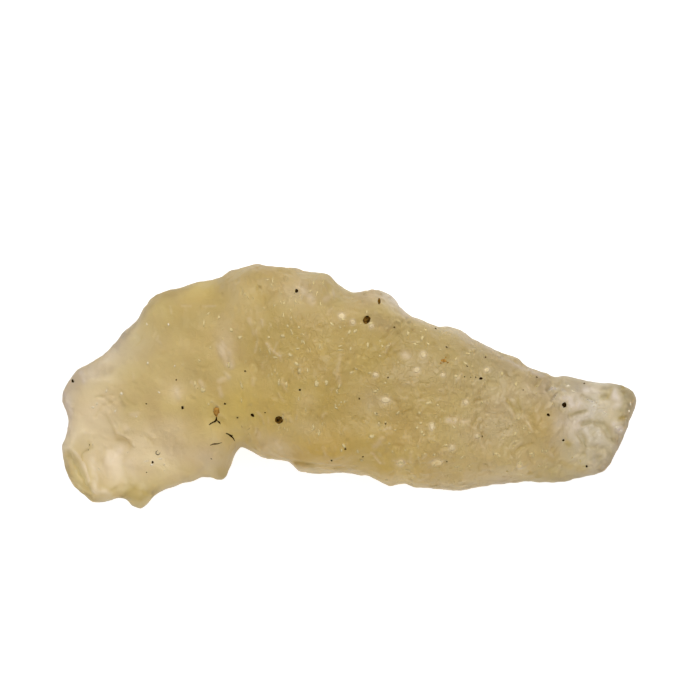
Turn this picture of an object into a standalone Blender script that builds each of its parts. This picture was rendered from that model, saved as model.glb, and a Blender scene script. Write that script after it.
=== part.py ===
"""Libyan desert glass: one wind-worn natural fragment of yellow silica glass.

The stone lies on its back, on a small flat worn on its underside. X runs along its
length, from the hollowed broad end to the thin clear tip, Y across it, and Z up through
its thickness. Lengths here are in millimetres; Blender gets metres.
"""

import math
import random

import bpy
import numpy as np
from mathutils import Vector, noise
from mathutils.geometry import delaunay_2d_cdt

MM = 0.001
SEED = 29
EDGE_STEP = 0.52  # longest side of the rim's polygon
RINGS = (0.12, 0.36, 0.78)  # rows of points inside the rim
GRID_STEP = 0.63  # spacing of the points over the faces

# The rim as seen from above, clockwise from the left end.
OUTLINE = [
    (-22.99, -1.11), (-22.93, -0.43), (-22.71, 0.09), (-22.33, 0.69), (-21.85, 1.27),
    (-21.21, 1.68), (-20.17, 2.28), (-19.61, 2.67), (-19.13, 3.08), (-18.33, 4.07),
    (-17.81, 4.63), (-17.21, 5.12), (-16.62, 6.06), (-16.25, 6.57), (-15.88, 7.02),
    (-15.45, 7.34), (-14.85, 7.56), (-14.17, 7.76), (-13.45, 7.95), (-12.73, 8.20),
    (-11.93, 8.37), (-10.61, 8.67), (-10.05, 8.99), (-9.45, 9.25), (-8.17, 9.65),
    (-7.25, 9.80), (-6.73, 9.69), (-5.53, 9.58), (-4.20, 9.46), (-3.69, 9.29),
    (-3.13, 9.16), (-2.41, 9.16), (-1.87, 9.08), (-1.53, 8.90), (-1.19, 8.55),
    (-0.78, 8.11), (-0.35, 7.79), (0.09, 7.54), (0.50, 7.51), (0.99, 7.61),
    (1.51, 7.74), (2.03, 7.77), (2.47, 7.70), (2.93, 7.51), (3.38, 7.18),
    (3.83, 6.75), (4.10, 6.38), (4.50, 5.97), (4.90, 5.71), (5.51, 5.45),
    (6.15, 5.18), (6.79, 4.86), (7.19, 4.73), (7.75, 4.80), (8.39, 4.69),
    (8.95, 4.53), (9.40, 4.23), (9.75, 3.92), (10.23, 3.68), (11.42, 3.08),
    (11.99, 2.80), (12.55, 2.59), (13.46, 2.34), (13.75, 2.03), (14.09, 1.75),
    (14.58, 1.52), (15.15, 1.27), (15.78, 1.08), (16.31, 0.84), (16.87, 0.78),
    (17.39, 0.89), (17.83, 0.74), (18.81, 0.49), (20.07, 0.34), (21.55, 0.19),
    (22.07, 0.06), (22.52, -0.18), (22.79, -0.49), (22.96, -0.83), (23.02, -1.17),
    (22.91, -1.72), (22.71, -2.23), (22.51, -2.68), (22.38, -3.20), (21.83, -4.45),
    (21.17, -5.80), (20.85, -6.34), (20.59, -6.71), (20.26, -6.92), (19.67, -7.11),
    (19.11, -7.27), (18.39, -7.41), (17.79, -7.60), (17.11, -7.72), (16.15, -7.77),
    (15.31, -7.73), (14.47, -7.64), (13.67, -7.64), (13.11, -7.77), (12.47, -7.87),
    (11.81, -7.90), (11.15, -8.01), (10.43, -8.14), (9.67, -8.24), (8.95, -8.38),
    (8.47, -8.43), (7.83, -8.39), (7.37, -8.29), (6.47, -8.21), (5.67, -8.16),
    (5.06, -8.13), (4.74, -7.94), (4.47, -7.83), (3.91, -7.86), (3.43, -8.07),
    (3.06, -7.96), (2.49, -7.70), (1.91, -7.41), (1.50, -7.24), (0.95, -7.19),
    (0.31, -7.01), (-0.33, -6.96), (-1.13, -7.00), (-1.85, -7.04), (-2.69, -7.03),
    (-3.45, -6.94), (-3.96, -6.84), (-4.38, -6.60), (-4.58, -6.27), (-4.89, -6.06),
    (-5.45, -5.91), (-6.13, -5.88), (-6.70, -5.86), (-7.13, -5.71), (-7.53, -5.41),
    (-7.97, -5.16), (-8.45, -4.98), (-8.70, -4.87), (-8.89, -5.09), (-9.10, -5.49),
    (-9.29, -5.99), (-9.53, -6.51), (-9.77, -7.03), (-10.01, -7.49), (-10.29, -7.52),
    (-10.69, -7.50), (-11.13, -7.36), (-11.61, -7.30), (-11.97, -7.36), (-12.37, -7.60),
    (-12.77, -7.74), (-13.25, -7.82), (-13.81, -8.05), (-14.49, -8.27), (-14.94, -8.44),
    (-15.43, -8.73), (-15.73, -9.00), (-15.95, -9.31), (-16.23, -9.60), (-16.61, -9.79),
    (-16.93, -9.80), (-17.37, -9.64), (-17.82, -9.21), (-18.07, -9.07), (-18.49, -9.01),
    (-18.86, -9.10), (-19.29, -9.23), (-19.74, -9.34), (-20.21, -9.36), (-20.59, -9.28),
    (-20.94, -9.06), (-21.29, -8.75), (-21.73, -8.42), (-22.05, -8.03), (-22.38, -7.49),
    (-22.63, -6.98), (-22.83, -6.45), (-22.97, -5.80), (-23.02, -5.19), (-22.97, -4.68),
    (-22.82, -4.19), (-22.65, -3.67), (-22.58, -3.14), (-22.58, -2.41), (-22.76, -1.89),
    (-22.94, -1.45),
]

# Thickness between the two faces, along X.
THICKNESS = [
    (-23.0, 2.4), (-21.0, 2.7), (-19.0, 3.2), (-16.0, 4.2), (-12.0, 5.9), (-8.0, 8.0),
    (-4.0, 9.3), (0.0, 9.6), (4.0, 9.2), (8.0, 8.4), (12.0, 7.0), (14.6, 6.0),
    (15.8, 5.2), (16.9, 3.7), (20.0, 3.0), (23.0, 2.6),
]
# Height of the seam halfway between the faces, along X.
SEAM = [
    (-23.0, 3.2), (-19.0, 2.8), (-14.0, 3.2), (-8.0, 4.05), (0.0, 4.50), (7.0, 4.25),
    (13.0, 3.6), (18.0, 3.3), (23.0, 3.6),
]
# How far in from the rim the faces keep on rising: x, y, width.
SHOULDERS = [
    (-22.5, -1.0, 3.0), (-18.0, 4.5, 4.2), (-12.0, 8.3, 4.6), (-5.0, 9.5, 3.8),
    (2.0, 7.7, 3.6), (8.0, 4.7, 3.0), (14.0, 1.8, 2.6), (20.0, 0.3, 1.4),
    (22.8, -2.0, 1.3), (20.0, -7.0, 1.6), (14.0, -7.7, 3.0), (8.0, -8.4, 2.8),
    (1.0, -7.1, 2.0), (-6.0, -5.9, 2.0), (-9.9, -7.1, 4.8), (-14.0, -8.1, 3.6),
    (-17.0, -9.6, 1.2), (-21.0, -8.8, 1.1), (-22.9, -5.0, 1.2),
]

# Smooth hollows and swellings of the upper face: x, y, half length, half width, turn in
# degrees, height.
SWELLINGS = [
    (-18.4, -5.5, 3.9, 3.0, -12, -1.55),  # broad hollow in the thick-lipped end
    (-14.4, -6.0, 2.4, 1.5, 20, -0.55),
    (-19.6, 0.0, 2.6, 1.6, 30, 0.25),
    (-11.5, 3.6, 5.0, 2.2, 22, 0.45),
    (-9.9, 2.9, 1.0, 1.9, 8, -0.35),
    (-6.2, -0.6, 3.2, 2.0, -15, 0.55),
    (-3.4, 6.4, 3.4, 1.3, -6, -0.40),
    (0.6, -4.6, 3.6, 1.6, 8, 0.50),
    (-3.0, 1.6, 2.6, 2.2, 0, 0.35),
    (2.6, 4.2, 2.6, 1.5, -30, -0.35),
    (5.6, 0.4, 2.8, 1.8, 12, 0.25),
    (7.0, -5.3, 3.0, 1.5, 4, 0.35),
    (11.2, -0.3, 2.8, 1.5, -28, 0.40),
    (12.2, -4.5, 2.2, 1.5, 10, -0.40),
    (15.3, -3.7, 1.4, 1.3, 0, 0.55),  # thick wedge beside the step down to the tip
    (19.3, -2.3, 2.1, 1.5, -20, -0.55),  # hollow in the thin tip
    (22.1, -1.4, 0.7, 0.6, 0, -0.30),
    (17.4, -5.6, 1.5, 1.1, 15, -0.30),
    (-16.7, -9.1, 1.3, 0.8, 10, 0.55),  # thick lobe on the lower rim
    (-10.4, -7.0, 1.6, 1.2, 0, -0.9),  # spur beside the notch, worn low
]
# Narrow ridges and creases of the upper face: points, half width, height.
RIDGES = [
    ([(-22.3, -4.9), (-21.9, -6.3), (-21.2, -7.4), (-20.4, -8.2), (-19.3, -8.5)], 0.62, 0.62),
    ([(-19.0, -1.8), (-18.6, -3.4), (-17.3, -4.1), (-16.7, -4.8)], 0.45, 0.38),
    ([(-20.8, -1.3), (-21.0, -2.9), (-20.4, -4.3)], 0.35, -0.22),
    ([(-21.2, -5.4), (-20.6, -6.2), (-19.9, -6.6)], 0.28, -0.18),
    ([(20.2, -2.6), (20.9, -3.4), (21.2, -4.4)], 0.32, 0.34),
    ([(18.4, -3.4), (18.9, -4.3), (18.8, -5.2)], 0.34, 0.30),
    ([(16.3, 0.4), (16.0, -1.2), (16.4, -2.9), (16.9, -4.0)], 0.36, 0.26),
    ([(13.2, -6.3), (14.3, -6.5), (15.4, -6.0), (15.9, -5.2)], 0.40, 0.30),
    ([(-6.6, 3.1), (-5.9, 2.5), (-5.4, 2.4)], 0.30, 0.20),
    ([(-10.7, -2.2), (-10.6, -3.0), (-10.2, -3.3)], 0.32, -0.34),
    ([(-9.8, -3.8), (-9.2, -4.3), (-8.8, -4.8)], 0.30, -0.38),
    ([(11.4, 0.4), (12.6, -0.6), (14.0, -2.6)], 0.34, -0.22),
    ([(12.6, 0.9), (13.6, -0.2), (14.6, -1.6)], 0.30, -0.18),
    ([(-14.6, 5.8), (-12.4, 5.4), (-10.4, 5.9)], 0.42, -0.22),
    ([(3.0, -6.3), (5.4, -6.4), (8.4, -6.6)], 0.40, -0.24),
]
# Smooth worn hollows of the underside, in the same terms as the swellings.
BACK_SWELLINGS = [
    (-13.0, 4.0, 4.0, 2.4, 25, 0.5), (-17.5, -5.5, 3.0, 2.4, 0, 0.3),
    (10.5, -4.6, 3.4, 2.0, 10, 0.5), (9.0, 2.0, 3.0, 1.8, -25, 0.35),
    (-3.0, 6.6, 3.2, 1.6, 0, 0.4), (18.0, -3.0, 2.4, 1.8, 0, -0.3),
]


def smooth_curve(points, longest):
    """A closed curve through the points, cut into pieces no longer than given."""
    points = np.array(points, float)
    count = len(points)
    made = []
    for i in range(count):
        before, start, end, after = (points[(i + k) % count] for k in (-1, 0, 1, 2))
        pieces = max(1, math.ceil(np.linalg.norm(end - start) / longest))
        for t in np.arange(pieces) / pieces:
            made.append(
                0.5
                * (
                    2 * start
                    + (end - before) * t
                    + (2 * before - 5 * start + 4 * end - after) * t**2
                    + (3 * start - before - 3 * end + after) * t**3
                )
            )
    return np.array(made)


def distance_to_path(points, path):
    """Distance of each point to a line of straight pieces."""
    nearest = np.full(len(points), 1e9)
    for start, end in zip(path[:-1], path[1:]):
        along = end - start
        t = np.clip((points - start) @ along / (along @ along), 0, 1)
        gap = points - start - t[:, None] * along
        nearest = np.minimum(nearest, np.hypot(gap[:, 0], gap[:, 1]))
    return nearest


def inside(points, loop):
    """Which points lie inside the closed loop."""
    result = np.zeros(len(points), bool)
    for start, end in zip(loop, np.roll(loop, -1, axis=0)):
        crosses = (start[1] > points[:, 1]) != (end[1] > points[:, 1])
        if not crosses.any():
            continue
        at = start[0] + (points[:, 1] - start[1]) * (end[0] - start[0]) / (end[1] - start[1])
        result ^= crosses & (points[:, 0] < at)
    return result


def inner_points(rim):
    """Rows of points that follow the rim inwards, then an even field of points."""
    closed = np.vstack([rim, rim[:1]])
    tangent = np.roll(rim, -1, axis=0) - np.roll(rim, 1, axis=0)
    tangent /= np.linalg.norm(tangent, axis=1)[:, None]
    inward = np.stack([tangent[:, 1], -tangent[:, 0]], axis=1)
    rows = []
    for depth in RINGS:
        row = rim + inward * depth
        row = row[inside(row, rim)]
        row = row[distance_to_path(row, closed) > depth * 0.93]
        kept = []
        for point in row:
            if not kept or np.linalg.norm(np.array(kept) - point, axis=1).min() > 0.26:
                kept.append(point)
        rows += kept
    spread = random.Random(SEED)
    field = []
    for j, y in enumerate(np.arange(-10, 10, GRID_STEP * math.sqrt(3) / 2)):
        for x in np.arange(-23.5, 23.5, GRID_STEP):
            field.append(
                (
                    x + (j % 2) * GRID_STEP / 2 + spread.uniform(-0.12, 0.12),
                    y + spread.uniform(-0.12, 0.12),
                )
            )
    field = np.array(field)
    field = field[inside(field, rim)]
    field = field[distance_to_path(field, closed) > RINGS[-1] + 0.42]
    return np.vstack([np.array(rows), field])


def along_x(table, x):
    """A smooth reading of a table of (x, value)."""
    at, value = np.array(table).T
    spread = np.linspace(-1.2, 1.2, 7)
    return np.mean([np.interp(x + step, at, value) for step in spread], axis=0)


def blended(anchors, points):
    """A value at each point, blended from the nearest anchors (x, y, value)."""
    anchors = np.array(anchors)
    gap = points[:, None] - anchors[None, :, :2]
    weight = 1 / ((gap**2).sum(axis=2) + 0.8) ** 1.6
    return (weight * anchors[:, 2]).sum(axis=1) / weight.sum(axis=1)


def swelling(points, swellings):
    """The summed height of the smooth mounds and hollows."""
    total = np.zeros(len(points))
    for x, y, length, width, turn, height in swellings:
        c, s = math.cos(math.radians(turn)), math.sin(math.radians(turn))
        u = ((points[:, 0] - x) * c + (points[:, 1] - y) * s) / length
        v = (-(points[:, 0] - x) * s + (points[:, 1] - y) * c) / width
        total += height * np.exp(-((u**2 + v**2) ** 1.3))
    return total


def ridges(points):
    """The summed height of the narrow ridges and creases."""
    total = np.zeros(len(points))
    for path, width, height in RIDGES:
        gap = distance_to_path(points, np.array(path, float))
        total += height * np.exp(-((gap / width) ** 2))
    return total


def lumps(points, size, seed):
    """Gentle uneven lumps of about the given size, between -1 and 1."""
    return np.array(
        [noise.noise(Vector((x / size, y / size, seed * 7.31))) for x, y in points]
    )


def scallops(points, spacing, seed):
    """Shallow shells worn side by side: 0 on the crests between them, 1 at their floors."""
    spread = random.Random(seed)
    centres = np.array(
        [
            (x + spread.uniform(-0.42, 0.42) * spacing, y + spread.uniform(-0.42, 0.42) * spacing)
            for x in np.arange(-26, 27, spacing)
            for y in np.arange(-12, 13, spacing)
        ]
    )
    gap = np.sqrt(((points[:, None] - centres[None]) ** 2).sum(axis=2)).min(axis=1)
    return np.clip(1 - (gap / (0.75 * spacing)) ** 2, 0, 1)


def pits(points, count, seed, x_low, x_high):
    """Small round etch pits scattered over part of the length."""
    spread = random.Random(seed)
    total = np.zeros(len(points))
    for _ in range(count):
        x, y = spread.uniform(x_low, x_high), spread.uniform(-9, 9)
        size, depth = spread.uniform(0.45, 0.85), spread.uniform(0.10, 0.30)
        gap = np.hypot((points[:, 0] - x) / size, (points[:, 1] - y) / size)
        total -= depth * np.clip(1 - gap**2, 0, 1)
    return total


def shoulder_curve(inward, reach):
    """How far a face has risen, from 0 at the rim to 1 where its shoulder ends."""
    part = np.clip(inward / np.maximum(reach, 0.7), 0, 1)
    return (1 - (1 - part) ** 2) ** (1 / 1.55)


def heights(points, rim):
    """The upper and lower height of the stone at each point of the plan."""
    inward = distance_to_path(points, np.vstack([rim, rim[:1]]))
    thickness = along_x(THICKNESS, points[:, 0])
    shoulder = blended(SHOULDERS, points)
    rise, fall = (
        shoulder_curve(inward, shoulder * (1.1 + 0.9 * lumps(points, 2.6, seed)))
        for seed in (11, 12)
    )
    settled = np.clip(rise * 1.25, 0, 1)
    seam = along_x(SEAM, points[:, 0]) + 0.55 * lumps(points, 4.5, 3)
    seam += 0.20 * thickness * lumps(points, 2.4, 4) * (1 - 0.8 * settled)

    upper = swelling(points, SWELLINGS) + ridges(points)
    upper += 0.55 * lumps(points, 5.5, 1) + 0.30 * lumps(points, 2.4, 2)
    upper -= 0.26 * scallops(points, 2.3, SEED)
    upper += pits(points, 46, SEED + 1, 1, 17) + pits(points, 22, SEED + 2, -20, 1)

    lower = swelling(points, BACK_SWELLINGS) + 0.55 * lumps(points, 6.5, 5)
    lower += 0.22 * lumps(points, 2.6, 6) + 0.20 * scallops(points, 2.9, SEED + 3)
    lower -= pits(points, 26, SEED + 4, -20, 20)

    top = seam + 0.5 * thickness * rise + upper * settled
    bottom = seam - 0.5 * thickness * fall + lower * np.clip(fall * 1.25, 0, 1)
    bottom = np.maximum(bottom, 0)
    top = np.maximum(top, bottom + 0.30 * thickness * rise)
    return top, bottom


def material():
    """Clear honey-yellow natural glass with a wind-frosted skin."""
    glass = bpy.data.materials.new("desert_glass")
    glass.use_nodes = True
    shader = glass.node_tree.nodes["Principled BSDF"]
    shader.inputs["Base Color"].default_value = (0.80, 0.66, 0.36, 1)
    shader.inputs["Roughness"].default_value = 0.32
    shader.inputs["IOR"].default_value = 1.46
    shader.inputs["Transmission Weight"].default_value = 0.85
    glass.diffuse_color = (0.52, 0.40, 0.18, 1)
    return glass


def stone():
    """The whole fragment, as one closed mesh with a shared plan for both faces."""
    rim = smooth_curve(OUTLINE, EDGE_STEP)
    plan = np.vstack([rim, inner_points(rim)])
    border = [(i, (i + 1) % len(rim)) for i in range(len(rim))]
    made = delaunay_2d_cdt([Vector(p) for p in plan], border, [], 1, 1e-5)
    points = np.array([tuple(p) for p in made[0]])
    faces = [tuple(face) for face in made[2]]

    top, bottom = heights(points, rim)
    on_rim = distance_to_path(points, np.vstack([rim, rim[:1]])) < 1e-3
    under = np.where(on_rim, np.arange(len(points)), -1)
    inner = np.flatnonzero(~on_rim)
    under[inner] = len(points) + np.arange(len(inner))

    vertices = [(x, y, z) for (x, y), z in zip(points, np.where(on_rim, (top + bottom) / 2, top))]
    vertices += [(*points[i], bottom[i]) for i in inner]
    turned = []
    for a, b, c in faces:
        ab, ac = points[b] - points[a], points[c] - points[a]
        if ab[0] * ac[1] - ab[1] * ac[0] < 0:
            b, c = c, b
        turned += [(a, b, c), (under[a], under[c], under[b])]

    mesh = bpy.data.meshes.new("libyan_desert_glass")
    mesh.from_pydata([tuple(MM * v for v in p) for p in vertices], [], [
        tuple(int(i) for i in face) for face in turned
    ])
    mesh.validate()
    mesh.update()
    mesh.materials.append(material())
    part = bpy.data.objects.new("libyan_desert_glass", mesh)
    bpy.context.scene.collection.objects.link(part)


for leftover in list(bpy.data.objects):
    bpy.data.objects.remove(leftover)
stone()
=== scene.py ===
"""Looks of the libyan desert glass: its frosted, pitted skin, honey-yellow see-through body
and what is sealed in it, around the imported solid. Lengths are in millimetres unless a name
says otherwise, in the stone's own frame, and become metres when a mesh is finished."""

import math
import random
import bmesh
import bpy
import numpy as np
from mathutils import Matrix, Vector, kdtree, noise
from mathutils.bvhtree import BVHTree


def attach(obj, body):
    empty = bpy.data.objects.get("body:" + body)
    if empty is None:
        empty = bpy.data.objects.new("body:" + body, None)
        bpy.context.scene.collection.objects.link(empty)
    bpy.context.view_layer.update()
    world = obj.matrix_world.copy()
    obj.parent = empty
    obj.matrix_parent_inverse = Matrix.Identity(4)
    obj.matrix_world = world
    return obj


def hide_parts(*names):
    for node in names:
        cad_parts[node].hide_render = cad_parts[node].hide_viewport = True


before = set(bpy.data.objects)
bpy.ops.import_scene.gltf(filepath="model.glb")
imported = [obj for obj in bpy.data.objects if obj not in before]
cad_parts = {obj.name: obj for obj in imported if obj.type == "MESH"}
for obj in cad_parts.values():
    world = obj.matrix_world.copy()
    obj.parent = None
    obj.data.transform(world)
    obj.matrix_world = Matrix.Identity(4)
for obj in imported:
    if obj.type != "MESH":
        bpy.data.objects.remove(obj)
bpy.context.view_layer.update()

STONE = "libyan_desert_glass"
MM = 0.001
SEED = 417

# Camera: straight down on the stone, from far off.
VIEW_WIDTH = 56.0  # what the frame spans at the height of the rim
VIEW_CENTRE = (0.07, 2.89)
RIM_HEIGHT = 4.0
CAMERA_HEIGHT = 1300.0
SENSOR = 36.0

VOXEL = 0.12  # spacing of the skin's points
SMOOTHING_ROUNDS = 3
TO_AND_FRO = (0.5, -0.51)  # shares of the way to the neighbours' mean
KEPT_SHARE = 0.58  # of the skin's faces, once the hidden underside has been thinned out
WELD_GAP = 0.001
UNDERSIDE_TILT = -0.1  # a normal whose Z is below this is on the underside
UPPER_FACE_FROM = 0.3  # the height from which a spot on the upper face can act
RIPPLES = [(1.1, 0.040, 1), (0.5, 0.026, 2)]  # of the whole skin: size, height, seed
SEED_STEP = 11.7  # how far apart in the noise two seeds are
PROBE_HEIGHT = 40.0  # where a vertical line that looks for the skin starts
LOWER_PITS = 5  # one small pit in so many is on the underside
BOWL_REACH, BOWL_DEPTH = 1.3, 0.5  # of an open bubble, by the half length and width of its lining
COVER = 0.8  # how much of the earlier tints a new one takes away

# Short creases: steps, length and bend of each, half width, share of the greatest height, tint, which is
# painted highlight on a ridge and painted shade in a crease.
CREASE_STEPS = 2
CREASE_STEP = (0.15, 0.5)
CREASE_BEND = 0.7
CREASE_HALF_WIDTH = (0.07, 0.14)
CREASE_HEIGHT = (0.4, 1.0)
CREASE_TINT = (0.1, 0.45)

# Patches that follow the skin: points around, rings, wall, unevenness of rim and of height.
AROUND, RINGS = 24, 7
FILM_WALL = 0.06
RIM_WAVE, HEIGHT_WAVE = 0.12, 0.02
CAP_SHARE = 0.85  # of a spherule that shows in the skin
CAP_MIDDLE, CAP_RIM = 0.06, -0.01  # how far a cap stands out of the skin
CAP_TINT = (1.15, 0.9)  # the pale glass round a spherule: share of its size, strength
LINING = 0.035
# The lower caps get a lighter, yellower copy of the cristobalite: painted light on the side turned from the
# lamp.
YELLOW_BELOW = -5.5  # Y below which the caps are a deeper yellow
# The white flecks are partly pale grains, partly painted glints.
PALE_END, CLEAR_TIP = -13, (17, -5.6)  # where the flecks are white: before this X, beyond these X, Y
FLAKE_SEED, GRAIN_SEED, RUST_SEED = 300, 50, 90
BARE_PATCH = (1.6, -0.05)  # flecks leave patches bare: size of the noise, value below which it is bare
STEEPEST = 0.45  # a normal's Z below which there is no fleck
FLECK_HEIGHT = (0.04, 0.15)  # half height: least, and what the smaller half size adds
FLECK_SUNK, GRAIN_SUNK, RUST_SUNK = 0.2, 0.05, 0.15  # how deep a lump's middle lies, by its size
BIG_GRAIN, MIDDLE_GRAIN, BROWN_GRAIN = 0.16, 0.14, 0.085  # radii where the look of a grain changes
CRACK_SIDES = 6
CRACK_STEP = 0.125  # of each straight piece of a crack

# The paper, the even light and the lamp.
PAPER_HALF = 600.0
PAPER_GREY, PAPER_GLOW = (0.5, 0.5, 0.5, 1), 0.80
SKY_STRENGTH = 0.62
LAMP_SIZE, LAMP_POWER = 0.45, 1.5  # metres, watts
LAMP_PLACE = (0.03, 0.34, 0.37)  # metres
WHITE = (1, 1, 1, 1)

# Open pits that can be told one from another: x, y, radius, depth.
PLAIN_PITS = [
    (4.6, 2.5, 0.5, 0.1), (-9.6, 1.9, 0.3, 0.08), (-5.8, -0.8, 0.34, 0.08), (-4.1, 1.3, 0.3, 0.08),
    (-3.2, 1.3, 0.3, 0.07), (-5, 0.3, 0.26, 0.08), (-0.7, 2.9, 0.34, 0.08), (11.8, -5.4, 0.3, 0.08),
    (22.1, -1.4, 0.42, 0.12), (19.7, -1.3, 0.36, 0.1), (12.4, 0.8, 0.34, 0.1), (14.2, -1, 0.38, 0.1),
]
# Regions of short creases: x from, x to, y from, y to, how many, turn and its spread in degrees,
# greatest height.
CREASE_FIELDS = [
    (2.5, 16.8, -7.4, 5.5, 190, 60, 60, 0.16), (-8.8, -0.6, -4.5, 8.6, 90, 90, 14, 0.12),
    (-20, -9, -8, 6, 45, 20, 70, 0.07), (16.6, 22.5, -7, -0.2, 30, 45, 60, 0.14),
]
# Regions of small etch pits: x from, x to, y from, y to, how many, radii, depths, stretch.
PIT_FIELDS = [
    (-1, 16.5, -8.5, 8, 520, (0.14, 0.34), (0.03, 0.1), 1),
    (-9, -1, -6.5, 9.8, 230, (0.1, 0.26), (0.02, 0.07), 1.9),
    (-23, -9, -9.8, 9, 150, (0.12, 0.34), (0.015, 0.05), 1),
    (16, 23, -8, 1, 70, (0.14, 0.36), (0.02, 0.07), 1),
]

# Pale cristobalite spherules at the skin: x, y, half length, half width.
SPHERULES = [
    (5.9, 2.5, 0.28, 0.28), (5.4, 1.3, 0.28, 0.27), (2.1, 0.9, 0.24, 0.23), (2.9, -1.1, 0.4, 0.28),
    (9.3, -1.3, 0.24, 0.24), (6.6, -3.2, 0.2, 0.36), (8.2, -4.9, 0.28, 0.28), (4.1, -6.1, 0.32, 0.3),
    (7, -6.1, 0.48, 0.28), (13.6, -6.3, 0.24, 0.32), (11, 1.3, 0.24, 0.24), (7.5, 0.9, 0.2, 0.2),
    (0.3, 5.1, 0.24, 0.24), (1.8, 4.8, 0.24, 0.24), (-0.6, 5.6, 0.28, 0.26), (10.2, -4, 0.22, 0.22),
]
# Dark mineral grains at the skin: x, y, radius.
DARK_GRAINS = [
    (-10.6, -2.66, 0.08), (-20.8, -4.7, 0.05), (-20.9, -5.1, 0.05), (-16.2, -6.9, 0.05),
    (13.9, -0.3, 0.05), (-22.1, 0.4, 0.12), (-16.2, -1.4, 0.07), (-13.3, -1.7, 0.12), (-15.7, -6.1, 0.11),
    (-9.9, -1.4, 0.09), (-8.9, -2.5, 0.08), (-7.7, -2.3, 0.15), (-6.7, -2.1, 0.06), (-4.2, 7.6, 0.15),
    (-11, -5.8, 0.06), (-3.9, -0.3, 0.09), (-13.8, 0.5, 0.07), (-8.3, 1.2, 0.08), (-0.3, -5, 0.08),
    (-1.4, -5.9, 0.09), (7.8, 3.1, 0.08), (10.5, 0.6, 0.12), (10.1, 0.7, 0.06), (9.7, 0.7, 0.05),
    (9.2, 0.75, 0.05), (10.9, 2.3, 0.08), (9.4, 1.6, 0.07), (3.1, 0.7, 0.07), (0.8, -1, 0.08),
    (2.2, -2.2, 0.08), (2.9, -3, 0.07), (17.2, -1.5, 0.22), (15.9, -2.3, 0.13), (17.1, -4.3, 0.1),
    (19, -6.4, 0.1), (10.6, -4, 0.07), (1.1, -5.6, 0.08), (7.8, -6, 0.07), (15, 0.7, 0.08),
    (18.8, 0.2, 0.07), (6.9, 4.6, 0.08), (3.6, 4.7, 0.08),
]
# Rust-brown grains: x, y, half length, half width, turn in degrees.
RUST_GRAINS = [
    (-10.6, -2, 0.4, 0.24, 86), (7.55, 2.05, 0.22, 0.17, 20), (7.85, 1.9, 0.1, 0.07, 0),
    (7.3, 1.85, 0.08, 0.06, 0), (7.7, 2.3, 0.08, 0.05, 40),
]
# Bubbles that the surface has cut open, lined with dark dirt: x, y, half length, half width, turn.
OPEN_BUBBLES = [(-5.6, -2.7, 0.32, 0.29, 0), (1.4, 5.3, 0.34, 0.26, 60), (2.4, 6.8, 0.24, 0.11, 90)]
# Fine cracks filled with dirt: points, half width.
CRACKS = [
    ([(-10.58, -2.3), (-10.6, -2.62), (-10.68, -2.8), (-11, -2.95), (-11.2, -3.1)], 0.075),
    ([(-10.62, -2.7), (-10.4, -2.85), (-10.25, -3.05)], 0.07),
    ([(-9.85, -3.75), (-9.6, -3.85), (-9.3, -4.1), (-9.12, -4.4)], 0.07),
    ([(-9.45, -4), (-9.3, -3.9)], 0.05),
    ([(-11.1, -4.72), (-10.85, -4.62), (-10.5, -4.6), (-10.15, -4.5)], 0.055),
    (
        [(-15.3, -5.12), (-15.45, -5.25), (-15.45, -5.42), (-15.3, -5.5), (-15.15, -5.42), (-15.12, -5.25)],
        0.03,
    ),
]
# Places where the body's colour leaves the plain honey: x, y, half length, half width, turn in
# degrees, strength.
CREAM = [
    (-19, -6.2, 2.5, 2, -12, 0.8), (-21, -2.6, 2, 2.2, 0, 0.6), (-15, -5.2, 3.2, 2.2, 20, 0.4),
    (-14.6, 1, 5, 3.6, 30, 0.12), (-9.8, 3.3, 0.8, 1.6, 0, 0.5), (-4.2, 7.4, 1.5, 1.2, 0, 0.4),
    (-13.8, -0.5, 1.4, 0.9, 20, 0.25), (-20.6, 1, 2.4, 1.2, 30, 0.4), (-11.2, -5.4, 1.8, 1.6, 20, 0.4),
    (-6, -4.6, 1.6, 0.8, -15, 0.5), (11.5, -7, 4, 1.2, 2, 0.25), (-3.4, -1.2, 0.9, 0.9, 0, 0.4),
    (-16.4, -4, 1.8, 1.4, 0, 0.35), (-19.6, -1.2, 1.4, 1.2, 0, 0.35), (-8.6, 6.9, 1.4, 1.2, 0, 0.4),
    (5.9, 2, 0.9, 0.5, 0, 0.2), (2.7, 5, 1.1, 0.7, 0, 0.35), (-13.75, -0.6, 0.5, 0.8, 0, 0.3),
    (-11.5, -5.6, 1.2, 0.9, 0, 0.25), (-8.9, -3.3, 1.6, 1.2, 0, 0.2), (3.3, -7.4, 0.8, 0.5, 0, 0.3),
    (1.7, 7.3, 0.9, 0.7, 0, 0.4), (-14, -5.2, 1.1, 0.9, 0, 0.3), (-14, -3.2, 1.2, 1, 0, 0.25),
    (-14, -7.1, 1.2, 0.7, 0, 0.2),
]
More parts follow.
